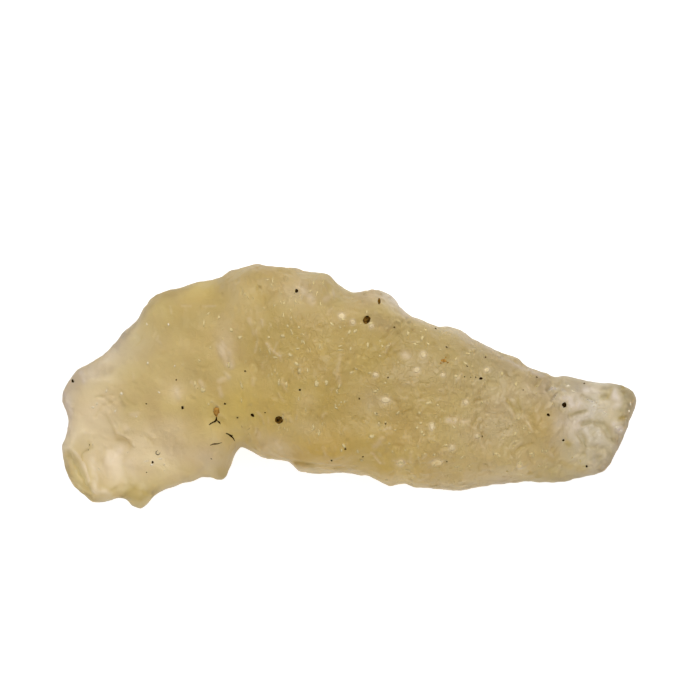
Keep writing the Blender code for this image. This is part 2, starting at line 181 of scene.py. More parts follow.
OLIVE = [
    (-6.2, 0.2, 2.6, 3.4, 0, 0.2), (-2.4, -1, 3.4, 3.4, 0, 0.6), (2.2, -6.4, 3.4, 1.2, 0, 0.3),
    (2.6, 3, 1.6, 1.4, 0, 0.25), (-9, 7.6, 3.6, 1.6, 20, 0.5), (-16.6, -8.9, 1.3, 0.9, 0, 0.8),
    (-5.6, 4.2, 3.6, 2.6, 0, 0.5), (3.6, 0.8, 3.4, 3.4, 0, 0.45), (8, 2.4, 5, 1.9, -24, 0.65),
    (12.4, -5, 1.6, 1.4, 0, 0.3), (-0.8, 6.9, 1.4, 1, 0, 0.25), (7.1, -3.1, 1.3, 1.3, 0, 0.35),
    (15, -2.9, 1.3, 1.6, 0, 0.35), (17.7, -5.1, 0.9, 0.8, 0, 0.4), (-0.4, -3.1, 1.8, 1, 0, 0.25),
    (9.8, -3.8, 3, 1.8, 0, 0.15), (-16.9, -5, 1.2, 1, 0, 0.25), (1.6, -3.2, 1.6, 1.2, 0, 0.25),
    (-14.4, 4.6, 3.6, 1.8, 40, 0.35), (-11.6, -0.8, 2.6, 2.2, 0, 0.35), (21.6, -3.2, 1.4, 2.6, -15, 0.45),
    (1.8, 2.9, 1.3, 1.3, 0, 0.45), (-20.4, -4.6, 1.6, 1.2, 0, 0.25), (15, -2.2, 1.3, 1.6, 0, 0.25),
    (18.8, -3.1, 2.4, 1, 0, 0.12), (-19.3, 0.9, 1, 0.9, 0, 0.2),
]
HONEY = [
    (0.2, -5.4, 2.6, 1, -20, 0.45), (15.2, -2.6, 1.3, 2.4, 0, 0.6), (3.8, -3.4, 1.4, 1, 0, 0.3),
    (-6.5, -1.6, 2.4, 1.2, 0, 0.3), (13.6, 0.2, 0.8, 1, 0, 0.2), (-2.2, -4.9, 2.8, 1.2, 0, 0.7),
    (4.6, -7.1, 3, 0.8, 0, 0.6), (-2.4, 2.6, 2.4, 1.4, 0, 0.2), (-6.1, 8.9, 1.6, 0.9, 0, 0.6),
    (-0.4, -1.6, 1.8, 1.2, 0, 0.2), (-10.4, 6.9, 2.4, 1, 0, 0.35), (-8.4, 8, 1.4, 0.9, 0, 0.3),
    (-12.4, 6.7, 2.2, 1, 35, 0.3), (-3.9, -5.5, 1, 0.6, 0, 0.6), (-1.5, -6, 1.6, 0.6, -15, 0.6),
    (7.1, -7, 1.6, 0.7, 0, 0.45),
]
GOLD = [
    (-9.2, -3, 2.6, 2.2, 0, 0.5), (-15.4, -5, 2, 1.4, 0, 0.2), (2, -4.9, 1.6, 1.2, 0, 0.3),
    (-10, 6.9, 3, 1.2, 0, 0.35), (3, -6.2, 4, 1.2, -8, 0.25), (-2.2, -4.9, 3.2, 1.3, 0, 0.25),
    (-6, -1.8, 2.2, 2, 0, 0.2), (15, -7.1, 1.8, 0.8, 0, 0.4), (-0.8, 4.9, 5, 2, 0, 0.1),
    (-3.4, -1.1, 1.8, 1.2, 0, 0.3), (-11.4, 2.9, 1.6, 1.6, 0, 0.25), (-14, -1.1, 1.2, 1, 0, 0.25),
    (4.4, -7.1, 1.6, 0.8, 0, 0.3), (3.3, 5.3, 1, 0.8, 0, 0.35), (-8.6, -4, 0.8, 0.6, 0, 0.5),
    (-16.6, -5.2, 1.2, 1, 0, 0.3), (-8.7, -3, 1.4, 1.1, 0, 0.4), (-3.4, -1.1, 1.6, 1.2, 0, 0.25),
    (-8.7, -1.1, 1.4, 1, 0, 0.3), (-14, -1.1, 1.2, 1, 0, 0.2), (-8.7, 6.9, 1.4, 1.2, 0, 0.4),
]
GREY = [
    (19.4, -3, 3.6, 4.4, 0, 0.9), (12.6, -2.4, 3, 2.6, 0, 0.25), (11.6, 0.8, 3.2, 1.8, -25, 0.2),
    (15, -1, 1.2, 1, 0, 0.3), (4.5, 0.9, 1.4, 1.2, 0, 0.25), (9.8, -3.8, 3, 1.8, 0, 0.2),
    (-21.4, 0.9, 2.6, 1, 35, 0.5), (-18, 4.4, 2.2, 0.8, 50, 0.4), (4, 6.4, 2, 0.8, -40, 0.4),
    (7, 1.5, 2.8, 1.4, -20, 0.3), (1.8, -1.1, 1.2, 1, 0, 0.4), (-3.4, -3, 1.3, 0.9, 0, 0.4),
    (-17.2, 3, 2.6, 1.2, 40, 0.3), (-19.4, 0.6, 2, 1.4, 20, 0.1),
]
# Thin edges, where the glass has next to no colour.
THIN = [
    (-22.8, 0.4, 0.9, 2.6, 0, 1), (-22.6, -3.6, 0.7, 2.2, 0, 0.8), (-20.8, 2.4, 2, 0.6, 45, 0.7),
    (22.4, -2.8, 0.9, 3.8, -18, 0.5), (3.9, 6.8, 1.4, 0.5, -45, 0.8), (9, 4, 3.4, 0.5, -24, 0.5),
    (-8.6, -7.4, 0.6, 1.8, -25, 0.6), (12, -8, 5, 0.5, 3, 0.5), (-17.4, 5.6, 2.6, 0.5, 48, 0.5),
    (-19.2, -2.9, 1.6, 1.2, 0, 0.4), (-19.1, 2.9, 0.9, 0.6, 45, 0.4), (12.1, -7.5, 1.6, 0.6, 0, 0.4),
]
# How crinkled the skin is.
CRINKLE = [
    (9, -1.5, 9.5, 6.5, -15, 1), (-3.5, 2, 4, 8, 0, 0.6), (19.5, -3, 3.5, 4.5, 0, 0.3),
    (-14, -4, 6, 4, 0, 0.35), (-12, 3, 6, 5, 0, 0.25),
]
# Ridges and creases in the skin that also show as a tint: in places the glass's own colour, in places
# painted light, with cream and clear as painted highlight on ridges and lit faces, and olive, shade and
# dusk as painted shade in creases and on shaded faces. Each: tint, points, half width, height, strength of
# the tint.
STROKES = [
    ("olive", [(-22.5, -5.5), (-21.7, -6.4), (-21.2, -7.1), (-21, -8), (-20.7, -8.7)], 0.34, -0.22, 0.8),
    ("shade", [(-22.3, -5.5), (-21.6, -6.3), (-21.1, -7.2), (-20.8, -8.2)], 0.2, -0.12, 0.6),
    ("cream", [(-22.4, -4.9), (-21.8, -5.5), (-21.35, -6.1), (-21.1, -6.7), (-20.8, -7.6)], 0.12, 0.2, 1),
    ("cream", [(-19.3, -2.1), (-19, -2.9), (-18.5, -3.6)], 0.14, 0.12, 0.7),
    ("cream", [(-18.5, -3.65), (-18, -3.95), (-17.6, -4.2), (-17.25, -4.7)], 0.15, 0.16, 1),
    ("olive", [(-18.6, -4.3), (-18.1, -4.4), (-17.6, -4.75)], 0.25, -0.15, 0.6),
    ("olive", [(-20.1, -4.9), (-20.15, -5.6), (-19.9, -6.4), (-19.45, -7.2)], 0.28, -0.13, 0.4),
    ("olive", [(-17.9, -5.3), (-18.15, -6.1), (-17.9, -7.1), (-17.5, -7.8)], 0.3, -0.11, 0.4),
    ("shade", [(-20.3, -0.85), (-19.6, -0.9), (-19.2, -1.3)], 0.1, -0.1, 0.5),
    ("shade", [(-18.4, -0.9), (-18.1, -1.6)], 0.1, -0.1, 0.4),
    ("cream", [(-17.8, -3.4), (-17.3, -3.5)], 0.5, 0.05, 0.8),
    ("cream", [(-17.4, -2.3), (-16.9, -2.2)], 0.3, 0.06, 0.7),
    ("olive", [(-20.8, -4.5), (-20.6, -5), (-21.3, -5.4), (-21.3, -5.9)], 0.13, -0.16, 0.7),
    ("cream", [(-21.1, -3.7), (-20.2, -4), (-19.4, -4.1)], 0.22, 0.11, 0.8),
    ("olive", [(-19.9, -6), (-19.6, -5.3), (-19.1, -5)], 0.26, -0.13, 0.3),
    ("cream", [(-19.1, -6.4), (-18.7, -5.6), (-18.3, -5.1)], 0.31, 0.13, 1),
    ("cream", [(-20.6, -6.2), (-20.45, -7), (-20.3, -8)], 0.34, 0.06, 1),
    ("cream", [(-20.3, -8.3), (-19.2, -8.5)], 0.35, 0.04, 1),
    ("cream", [(-18.6, -6.7), (-18.4, -7.1)], 0.4, 0.05, 0.8),
    ("olive", [(-19.1, -8.4), (-18.5, -8.1), (-17.9, -8), (-16.7, -8.3), (-15.8, -8.6)], 0.19, -0.13, 0.6),
    ("olive", [(-17.8, -8.6), (-17, -8.6)], 0.55, 0.04, 0.6),
    ("cream", [(-20.1, -1), (-19.6, -1.3)], 0.16, 0.05, 0.5),
    ("cream", [(-19, -1.1), (-18.8, -1.4)], 0.2, 0.06, 0.6),
    ("clear", [(17.2, -1.1), (18.3, -1.3)], 0.66, 0.17, 1),
    ("grey", [(15.7, -0.4), (16.3, -0.1), (16.9, -0.2), (17.4, -0.5)], 0.19, -0.2, 1),
    ("grey", [(16.2, -1.2), (16.6, -0.7), (17, -0.5)], 0.15, -0.2, 1),
    ("clear", [(18.9, -0.3), (20.1, -0.4)], 0.32, 0.03, 0.8),
    ("shade", [(18.6, -0.75), (18.95, -1.1), (19.3, -1.15)], 0.15, -0.15, 0.9),
    ("grey", [(18.6, -0.9), (19.5, -1.3)], 0.19, -0.17, 1),
    ("shade", [(17.6, -2.4), (18.3, -2.1), (18.9, -2)], 0.15, -0.24, 1),
    ("clear", [(18.2, -2.9), (18.7, -2.5), (19.1, -2.2)], 0.12, 0.17, 1),
    ("shade", [(18.7, -3), (19.3, -2.8), (19.9, -3)], 0.18, -0.24, 1),
    ("shade", [(20.2, -3), (20.6, -3.6), (20.9, -4.2), (21.2, -4.4)], 0.21, -0.31, 1),
    ("shade", [(19.5, -3.3), (19.3, -4.4)], 0.5, 0.02, 0.55),
    ("shade", [(18.3, -3.7), (18.8, -4.3), (18.7, -5)], 0.24, -0.2, 1),
    ("clear", [(21.2, -0.6), (21.4, -1.5)], 0.38, 0.22, 1),
    ("olive", [(20.3, -0.9), (20.6, -0.8), (20.9, -0.4)], 0.26, -0.2, 0.9),
    ("dusk", [(20.35, -0.9), (20.5, -0.75)], 0.18, -0.1, 0.9),
    ("dusk", [(21.75, -2.6), (21.95, -2.5)], 0.13, -0.1, 0.7),
    ("dusk", [(20.4, -0.2), (20.6, -0.3)], 0.12, -0.08, 0.6),
    ("dusk", [(21, -4.4), (21.25, -4.5)], 0.12, -0.08, 0.7),
    ("dusk", [(19, -2.9), (19.6, -2.9)], 0.09, -0.08, 0.6),
    ("dusk", [(18.1, -2.15), (18.6, -2.05)], 0.09, -0.08, 0.6),
    ("dusk", [(20.15, -3.2), (20.5, -3.9), (20.85, -4.35)], 0.08, -0.08, 0.5),
    ("dusk", [(18.35, -3.9), (18.65, -4.6)], 0.09, -0.08, 0.5),
    ("shade", [(21.8, -0.4), (22.1, -0.6), (22.4, -1.3), (22.1, -1.8), (21.7, -2)], 0.33, -0.17, 1),
    ("olive", [(21.6, -2.55), (22.1, -2.5)], 0.24, -0.2, 1),
    ("clear", [(21.3, -3.1), (21.5, -3.4)], 0.32, 0.2, 1),
    ("clear", [(16.8, -2.9), (18, -3.3)], 0.6, 0.05, 0.7),
    ("grey", [(19.6, -5.9), (20.4, -6.4)], 0.42, -0.09, 0.8),
    ("shade", [(19.9, -2.6), (20.5, -3.4)], 0.35, -0.05, 0.4),
    ("shade", [(19.9, -5), (20.1, -6.1)], 0.33, -0.1, 0.6),
    ("shade", [(19.3, -5), (19.2, -6)], 0.35, -0.04, 0.4),
    ("olive", [(17.4, -4.5), (17.6, -4.7)], 0.26, 0.05, 0.8),
    ("honey", [(15.9, -2.7), (15.4, -4), (16.3, -5.3)], 0.55, 0.09, 0.5),
    ("honey", [(15.3, -5.5), (16.9, -6.1), (18.9, -6.7)], 0.35, 0.06, 0.6),
    ("cream", [(12.3, -1.3), (12.7, -1.8), (13.1, -2.3)], 0.1, 0.13, 0.6),
    ("olive", [(12.6, -1), (12.9, -1.5), (13.6, -2.1)], 0.13, -0.14, 0.7),
    ("cream", [(12, -2.3), (12.6, -2.8), (12.9, -3)], 0.11, 0.11, 0.6),
    ("olive", [(13.4, -0.9), (13.6, -1.6), (13.8, -2)], 0.18, -0.14, 0.7),
    ("olive", [(14.2, -2.1), (14.6, -2.8)], 0.2, -0.14, 0.6),
    ("cream", [(14.1, -2.4), (14.4, -3.2), (14.6, -3.6)], 0.09, 0.13, 0.6),
    ("cream", [(15.5, 0), (16, -0.8), (16.2, -1.6)], 0.15, 0.11, 0.6),
    ("cream", [(14.2, 0.1), (14.4, -0.5)], 0.11, 0.1, 0.6),
    ("olive", [(9.8, -3.4), (10.1, -2.7), (10.3, -2.4)], 0.16, -0.09, 0.5),
    ("cream", [(10.2, -3.8), (10.5, -4.3), (10.8, -5)], 0.14, 0.07, 0.4),
    ("olive", [(13.2, -5.5), (13.5, -5), (14, -4.8), (14.6, -4.6)], 0.18, -0.17, 0.7),
    ("cream", [(12.5, -5), (13.2, -5), (13.7, -4.5)], 0.11, 0.08, 0.4),
    ("cream", [(11.8, -4), (12.3, -4.4), (11.9, -4.9)], 0.08, 0.08, 0.5),
    ("olive", [(10.5, -5.1), (10.6, -5.9), (10.3, -6.5)], 0.12, -0.07, 0.4),
    ("cream", [(2.7, -3.5), (3.3, -3.3), (3.4, -3.7), (3, -3.8)], 0.1, 0.05, 0.6),
    ("cream", [(1.8, -5.3), (2.1, -5.7), (2.5, -6.1)], 0.08, 0.08, 0.9),
    ("cream", [(2.1, -4.8), (2.6, -4.2)], 0.22, 0.05, 0.5),
    ("cream", [(5.8, -5.8), (6.2, -5.4)], 0.08, 0.05, 0.7),
    ("cream", [(-6.6, 3.4), (-6.3, 3), (-5.8, 2.6), (-5.5, 2.4)], 0.09, 0.08, 0.9),
    ("cream", [(-7.4, 4.5), (-7.3, 3.6), (-7.5, 2.7)], 0.1, 0.06, 0.5),
    ("cream", [(-8, 5.4), (-7.8, 4.8), (-7.6, 4.2)], 0.16, 0.06, 0.5),
    ("cream", [(-7, 5.3), (-6.9, 4.8)], 0.11, 0.07, 0.7),
    ("cream", [(-4.1, 7.7), (-3.2, 7.4), (-3, 6.8)], 0.34, 0.05, 0.9),
    ("cream", [(-4, 7.9), (-3.9, 8.4)], 0.12, 0.06, 0.7),
    ("cream", [(-1.9, 6.9), (-1.4, 7.3)], 0.26, 0.05, 0.5),
    ("cream", [(-0.7, 2.5), (-0.9, 1.1), (-0.7, 0.2)], 0.14, 0.05, 0.4),
    ("olive", [(-7.2, 8.8), (-7.2, 7.7)], 0.07, -0.06, 0.5),
    ("olive", [(-6.7, 7), (-6.6, 5.9)], 0.07, -0.06, 0.5),
    ("cream", [(-10.1, 3.5), (-9.8, 2.7), (-9.6, 1.6)], 0.38, 0.06, 1),
    ("cream", [(-10.4, 0.4), (-10, 0.6)], 0.2, 0.05, 0.6),
    ("cream", [(-13.4, 6.4), (-12.7, 6.4)], 0.09, 0.03, 0.3),
    ("cream", [(-11.7, 6.4), (-10.7, 6.4)], 0.1, 0.03, 0.4),
    ("cream", [(-14.3, 6.4), (-14.2, 5.8)], 0.08, 0.03, 0.4),
    ("cream", [(-13.7, -4), (-13.4, -4.7)], 0.3, 0.04, 0.5),
    ("shade", [(18.6, -3.6), (18.9, -4.2), (18.6, -5.4)], 0.24, -0.16, 0.6),
    ("shade", [(20.2, -4.9), (20.9, -5.4)], 0.3, -0.12, 0.5),
    ("shade", [(15.9, -0.3), (16.2, -1.2), (16.9, -1.9)], 0.16, -0.14, 0.6),
    ("cream", [(-16.2, -3.6), (-15.6, -4.1)], 0.24, 0.1, 0.5),
    ("olive", [(-20.3, -2.4), (-19.8, -1.6), (-18.8, -1.2)], 0.14, -0.1, 0.4),
    ("olive", [(-19.9, -0.8), (-18.9, -0.7)], 0.1, -0.08, 0.4),
    ("cream", [(-19, -0.9), (-18.6, -1.5)], 0.14, 0.1, 0.7),
    ("cream", [(-13.6, -4.4), (-12.8, -4.6)], 0.22, 0.06, 0.5),
    ("cream", [(-11, -1.2), (-10.4, -1.6)], 0.16, 0.05, 0.3),
    ("clear", [(-22, 2.4), (-22.7, 0.8), (-22.8, -0.6), (-22.5, -1.8), (-22.7, -3.4)], 0.42, 0, 0.8),
    ("clear", [(3, 7.3), (4, 6.6), (4.6, 5.8)], 0.3, 0, 0.7),
    ("clear", [(4.8, 5.6), (7, 5), (8.8, 4.3), (11, 3.2), (13, 1.8), (15.5, 0.8)], 0.18, 0, 0.5),
    ("cream", [(4.5, 2.5), (4.7, 2.45)], 0.36, 0.03, 1),
    ("cream", [(8.05, -2.65), (8.35, -2.75)], 0.27, 0.03, 1),
    ("cream", [(8.9, -2.8), (9.45, -2.8)], 0.15, 0.03, 0.9),
    ("cream", [(-5.7, -4.5), (-5.5, -5)], 0.38, 0.04, 0.8),
    ("clear", [(-10.6, 3.4), (-10.2, 2.6)], 0.24, 0.08, 0.3),
    ("clear", [(-9.5, 2.7), (-9.3, 1.5)], 0.2, 0.08, 0.35),
    ("clear", [(-9.9, 1.1), (-9.6, 0.7)], 0.15, 0.08, 0.4),
    ("clear", [(-13.9, -0.2), (-13.6, -0.9)], 0.2, 0.06, 0.45),
    ("cream", [(-12.6, 0.3), (-12.2, 0)], 0.2, 0.07, 0.7),
    ("cream", [(-11.9, 0.4), (-11.6, -0.2)], 0.18, 0.07, 0.7),
    ("cream", [(-10.4, -0.2), (-10.2, -0.7)], 0.2, 0.06, 0.6),
    ("clear", [(-21.5, 1.1), (-21.2, 0.4)], 0.22, 0.05, 0.8),
    ("olive", [(20.2, -0.3), (20.6, -0.5)], 0.16, -0.12, 0.9),
    ("olive", [(21.9, 0), (22, -0.5)], 0.18, -0.1, 0.9),
    ("cream", [(-7.3, -3.7), (-7.2, -4)], 0.24, 0.04, 0.7),
    ("cream", [(-2.1, -4.9), (-1.9, -5.4)], 0.14, 0.05, 0.6),
    ("thin", [(-4.5, -6.4), (-3.1, -6.8), (-1.1, -6.9), (0.2, -6.7), (1.3, -7)], 0.26, 0.06, 0.8),
    ("olive", [(-5, -6), (-3.9, -6.1), (-2.3, -6.3), (-0.7, -6.5), (0.6, -6.5)], 0.12, -0.16, 0.8),
]
# Soft swellings and hollows in the skin: x, y, half length, half width, turn, height.
FORMS = [
    (17.6, -1.4, 1.3, 0.95, 20, 0.26), (21.3, -0.9, 0.55, 0.5, 0, 0.22), (21.4, -3.2, 0.5, 0.45, 0, 0.2),
    (19.9, -3.9, 0.7, 0.9, 20, 0.1), (20.3, -6, 0.8, 0.6, 30, -0.18), (18.4, -5, 0.6, 0.9, 0, -0.16),
    (-19.3, -5.2, 0.9, 1.5, -25, 0.16), (-20.9, -3.6, 1.2, 0.8, 0, -0.14),
    (-17, -3.2, 0.8, 0.6, 30, 0.14), (-18.3, -5, 0.5, 1, -20, -0.14), (-20.4, -6.9, 0.7, 1.3, 20, 0.12),
    (-17, -8.7, 0.9, 0.6, 0, 0.1), (-9.8, 2.9, 0.6, 1.2, 0, 0.08), (-3.6, 7.4, 0.9, 0.7, 0, 0.08),
    (13.2, -2.2, 1.6, 0.5, -50, 0.12), (12, -1.2, 1.4, 0.4, -50, -0.12), (14.2, -5.6, 1.2, 0.5, 10, 0.12),
    (10.4, -4.4, 0.6, 0.6, 0, -0.1), (3.6, -3.6, 0.9, 0.6, 20, 0.12), (2.4, -5.2, 0.7, 0.7, 0, -0.12),
    (6.4, 4.4, 1.2, 0.6, -30, 0.12), (8.8, -0.2, 1.2, 0.9, 0, -0.12), (5, -1.8, 1.4, 0.8, 30, 0.1),
    (15.9, -4, 0.8, 1.5, 0, 0.12),
]
# Pale grains and streaks that can be told one from another, those at the tip and the left end white and
# partly painted glints: x, y, half length, half width, turn.
PALE_MARKS = [
    (-6.4, 3.9, 0.13, 0.11, 0), (-5.3, 4, 0.14, 0.21, 90), (-5.9, 2.3, 0.21, 0.08, 170),
    (-4.7, 2.5, 0.13, 0.19, 70), (-4.9, 4.8, 0.11, 0.13, 0), (-4, 4.7, 0.1, 0.14, 0),
    (-4.1, 3, 0.18, 0.08, 10), (-4.2, 1.8, 0.14, 0.21, 60), (-4, 1.2, 0.24, 0.24, 0),
    (-3.3, 1.3, 0.08, 0.24, 0), (-5.6, 0.3, 0.11, 0.26, 0), (-5, 0.2, 0.11, 0.29, 0),
    (-2.6, 0.2, 0.18, 0.26, 0), (-1.8, 0.3, 0.14, 0.22, 0), (-0.7, 2.9, 0.27, 0.07, 5),
    (-6.5, 8.5, 0.13, 0.1, 0), (-3.5, 9.1, 0.18, 0.1, 40), (-3.8, 9.3, 0.1, 0.08, 0),
    (-7.4, 3.5, 0.13, 0.08, 0), (-8.7, 3.9, 0.19, 0.13, 30), (4.2, -6.1, 0.32, 0.23, 0),
    (1, -5.9, 0.18, 0.13, 20), (0.7, -5.2, 0.1, 0.21, 20), (1.8, -4, 0.21, 0.16, 0),
    (4.7, -6.7, 0.29, 0.1, 0), (6.3, -6.5, 0.27, 0.06, 0), (7, -6.5, 0.29, 0.06, 0),
    (2.6, -7.3, 0.13, 0.21, 50), (11.7, -5.4, 0.26, 0.11, 10), (10.9, -6.2, 0.21, 0.08, 0),
    (13.6, -6.2, 0.18, 0.27, 0), (14.5, -5.4, 0.24, 0.1, 15), (12.3, -4.2, 0.1, 0.11, 0),
    (10.3, -4, 0.18, 0.18, 0), (14.4, -3.7, 0.1, 0.09, 0), (14.1, -3.2, 0.09, 0.11, 0),
    (-11.6, 5, 0.07, 0.3, 0), (-10.4, 5.5, 0.09, 0.21, 0), (-9.6, 1.7, 0.13, 0.27, 0),
    (-11.7, -0.3, 0.19, 0.24, 40), (-12.3, 0.2, 0.11, 0.21, 0), (-9.4, 4.5, 0.13, 0.21, 30),
    (19.8, -1.3, 0.11, 0.08, 0), (20, -1.5, 0.08, 0.08, 0), (19.6, -1.6, 0.07, 0.07, 0),
    (22.5, -1.4, 0.06, 0.21, 0), (22.4, -2, 0.1, 0.13, 0), (21.4, -3.3, 0.13, 0.1, 0),
    (21.7, -3.6, 0.08, 0.1, 0), (18.5, -6, 0.07, 0.21, 0), (18.8, -6.4, 0.18, 0.07, 0),
    (17.5, 0, 0.18, 0.11, 20), (17.9, -0.4, 0.08, 0.21, 60), (19.1, -3, 0.1, 0.08, 0),
    (-15.1, -5.8, 0.18, 0.07, 0), (-15.8, -6.3, 0.13, 0.08, 0), (-16.2, -6, 0.21, 0.06, 10),
    (-20.5, -1.7, 0.13, 0.1, 0), (-18.2, -0.6, 0.1, 0.14, 0), (5.5, 3.5, 0.19, 0.07, 10),
    (3.9, 1.9, 0.1, 0.1, 0), (0.5, 4.4, 0.18, 0.13, 30), (1.7, 5, 0.22, 0.13, 20),
    (1.4, 5.9, 0.1, 0.19, 0), (-0.7, 3.2, 0.21, 0.06, 10), (0.2, 1.1, 0.22, 0.07, 20),
    (1.5, 3.3, 0.11, 0.24, 0), (11, 1.3, 0.16, 0.21, 20), (12.2, 1, 0.13, 0.16, 0),
    (9.5, 2.6, 0.24, 0.1, 20), (9.3, 1.8, 0.21, 0.11, 0), (8.5, 0.8, 0.21, 0.1, 0),
    (6.1, 4.5, 0.19, 0.08, 120), (4.7, 4.2, 0.1, 0.18, 150),
]
# Regions of tiny pale flecks: x from, x to, y from, y to, how many, half sizes, stretch along Y.
FLECK_FIELDS = [
    (-1.5, 16, -8.2, 7.6, 160, (0.04, 0.12), 1.4),
    (-8.6, -2, -4.5, 8.6, 70, (0.04, 0.07), 2.8),
    (-21, -9, -8, 7, 26, (0.04, 0.08), 1.6),
    (16, 22.6, -7, 0.4, 10, (0.04, 0.07), 1),
]

# Where each tint lies, and how crinkled the skin is. Shade, dusk and clear are only in strokes.
TINTS = {
    "thin": THIN, "grey": GREY, "olive": OLIVE, "honey": HONEY, "gold": GOLD, "cream": CREAM,
    "crinkle": CRINKLE,
}
# The glass's own two colours, its specks, and each tint in the order in which they are laid on.
GLASS_COLOURS = (0.60, 0.465, 0.20), (0.66, 0.54, 0.225)
PALE_SPECK, DIM_SPECK = (0.82, 0.70, 0.42), (0.42, 0.32, 0.10)
# Shade and dusk are painted shade in creases and grooves; cream and clear are also painted highlight on
# ridges and lit faces, and olive is also painted shade in creases.
TINT_COLOURS = {
    "thin": (0.78, 0.70, 0.54),
    "grey": (0.74, 0.70, 0.665),
    "olive": (0.50, 0.385, 0.115),
    "honey": (0.56, 0.40, 0.12),
    "gold": (0.72, 0.58, 0.14),
    "cream": (0.88, 0.755, 0.575),
    "shade": (0.45, 0.39, 0.23),
    "dusk": (0.28, 0.23, 0.12),
    "clear": (0.87, 0.79, 0.75),
}
# What light loses on its way through: colour left, and how fast, per metre.
SOAK_COLOUR, SOAK_DENSITY = (0.90, 0.77, 0.36, 1), 110.0
# Minerals: darker and lighter colour, scale of the change from one to the other, shine.
MINERALS = {
    "cristobalite": ((0.61, 0.485, 0.27), (0.72, 0.585, 0.355), 2600, 0),
    # A lighter, yellower copy of cristobalite for the lower caps: painted light.
    "cristobalite_painted_light": ((0.76, 0.59, 0.30), (0.88, 0.69, 0.37), 2600, 0),
    "yellow_cristobalite": ((0.56, 0.45, 0.215), (0.66, 0.54, 0.28), 6000, 0),
    # White grains, partly painted glints.
    "white_grains_and_glints": ((0.66, 0.56, 0.38), (0.80, 0.72, 0.56), 6000, 0),
    "dark_grain": ((0.006, 0.003, 0.001), (0.040, 0.020, 0.004), 9000, 0),
    "brown_grain": ((0.045, 0.028, 0.010), (0.15, 0.095, 0.035), 9000, 0),
    "brown_dirt": ((0.008, 0.003, 0.0005), (0.19, 0.095, 0.015), 4300, 0),
    "rust_grain": ((0.26, 0.12, 0.02), (0.52, 0.28, 0.06), 5000, 0.1),
}
# The mineral that each piece of pale lumps or patches is made of.
PALE_PIECES = {
    "spherule_caps": "cristobalite",
    # The yellow caps: cristobalite, with painted light in its lighter colour.
    "yellow_caps": "cristobalite_painted_light",
    "pale_flecks": "yellow_cristobalite",
    "white_flecks": "white_grains_and_glints",
}


def new_object(name, points, faces):
    """An object from points in millimetres."""
    mesh = bpy.data.meshes.new(name)
    mesh.from_pydata([tuple(MM * v for v in p) for p in points], [], faces)
    mesh.update()
    mesh.shade_smooth()
    made = bpy.data.objects.new(name, mesh)
    bpy.context.scene.collection.objects.link(made)
    return made


def read_points(mesh, what="vertices", key="co"):
    """The mesh's places, or its normals, as rows of three numbers."""
    values = np.empty(len(mesh.vertices) * 3, np.float32)
    (mesh.vertices if what == "vertices" else mesh.vertex_normals).foreach_get(key, values)
    return values.reshape(-1, 3).astype(float)


def smoothed(points, edges, rounds):
    """The points after each has moved towards its neighbours' mean and back, so none shrinks away."""
    count = np.bincount(edges.ravel(), minlength=len(points))[:, None]
    for share in TO_AND_FRO * rounds:
        total = np.zeros_like(points)
        np.add.at(total, edges[:, 0], points[edges[:, 1]])
        np.add.at(total, edges[:, 1], points[edges[:, 0]])
        points = points + share * (total / count - points)
    return points


def evaluated(mesh, *modifiers):
    """The mesh after the modifiers, each a kind and its settings."""
    work = bpy.data.objects.new("work", mesh)
    bpy.context.scene.collection.objects.link(work)
    if mesh.attributes.get("below"):
        group = work.vertex_groups.new(name="below")
        group.add([i for i, v in enumerate(mesh.attributes["below"].data) if v.value], 1.0, "REPLACE")
    for kind, settings in modifiers:
        modifier = work.modifiers.new(kind.lower(), kind)
        for key, value in settings.items():
            setattr(modifier, key, value)
    graph = bpy.context.evaluated_depsgraph_get()
    made = bpy.data.meshes.new_from_object(work.evaluated_get(graph))
    bpy.data.objects.remove(work)
    return made


def fine_skin(source):
    """The solid's mesh in millimetres, rounded, rebuilt with close points, its underside thinned."""
    mesh = source.data.copy()
    mesh.transform(Matrix.Scale(1 / MM, 4))
    mesh = evaluated(
        mesh,
        ("WELD", {"merge_threshold": WELD_GAP}),
        ("SUBSURF", {"levels": 2, "render_levels": 2}),
        ("REMESH", {"mode": "VOXEL", "voxel_size": VOXEL}),
    )
    ends = np.empty(len(mesh.edges) * 2, np.int32)
    mesh.edges.foreach_get("vertices", ends)
    points = smoothed(read_points(mesh), ends.reshape(-1, 2), SMOOTHING_ROUNDS)
    mesh.vertices.foreach_set("co", points.ravel())
    mesh.update()
    below = mesh.attributes.new("below", "BOOLEAN", "POINT")
    below.data.foreach_set("value", read_points(mesh, "normals", "vector")[:, 2] < UNDERSIDE_TILT)
    return evaluated(mesh, ("DECIMATE", {"ratio": KEPT_SHARE, "vertex_group": "below"}))


def ripple(points, size, seed):
    """Smooth noise of about the given size, between -1 and 1."""
    shift = seed * SEED_STEP
    return np.array(
        [noise.noise(Vector((x / size + shift, y / size, z / size))) for x, y, z in points]
    )


def pit_list():
    """Every small pit: x, y, which face, radius, depth, stretch along Y."""
    spread = random.Random(SEED)
    pits = [(x, y, 1, radius, depth, 1.0) for x, y, radius, depth in PLAIN_PITS]
    for x0, x1, y0, y1, count, radii, depths, stretch in PIT_FIELDS:
        for k in range(count):
            pits.append(
                (
                    spread.uniform(x0, x1),
                    spread.uniform(y0, y1),
                    1 if k % LOWER_PITS else -1,
                    spread.uniform(*radii) * spread.uniform(0.8, 1.15),
                    spread.uniform(*depths),
                    stretch * spread.uniform(0.85, 1.2),
                )
            )
    for x, y, length, width, _ in OPEN_BUBBLES:
        pits.append((x, y, 1, BOWL_REACH * length, BOWL_DEPTH * width, 1.0))
    return pits


def surface_under(tree, x, y, side=1):
    """(point, normal) where a vertical line through x, y meets the upper or lower face."""
    start = Vector((x, y, PROBE_HEIGHT * side))
    hit, normal, _, _ = tree.ray_cast(start, Vector((0, 0, -side)))
    return hit, normal


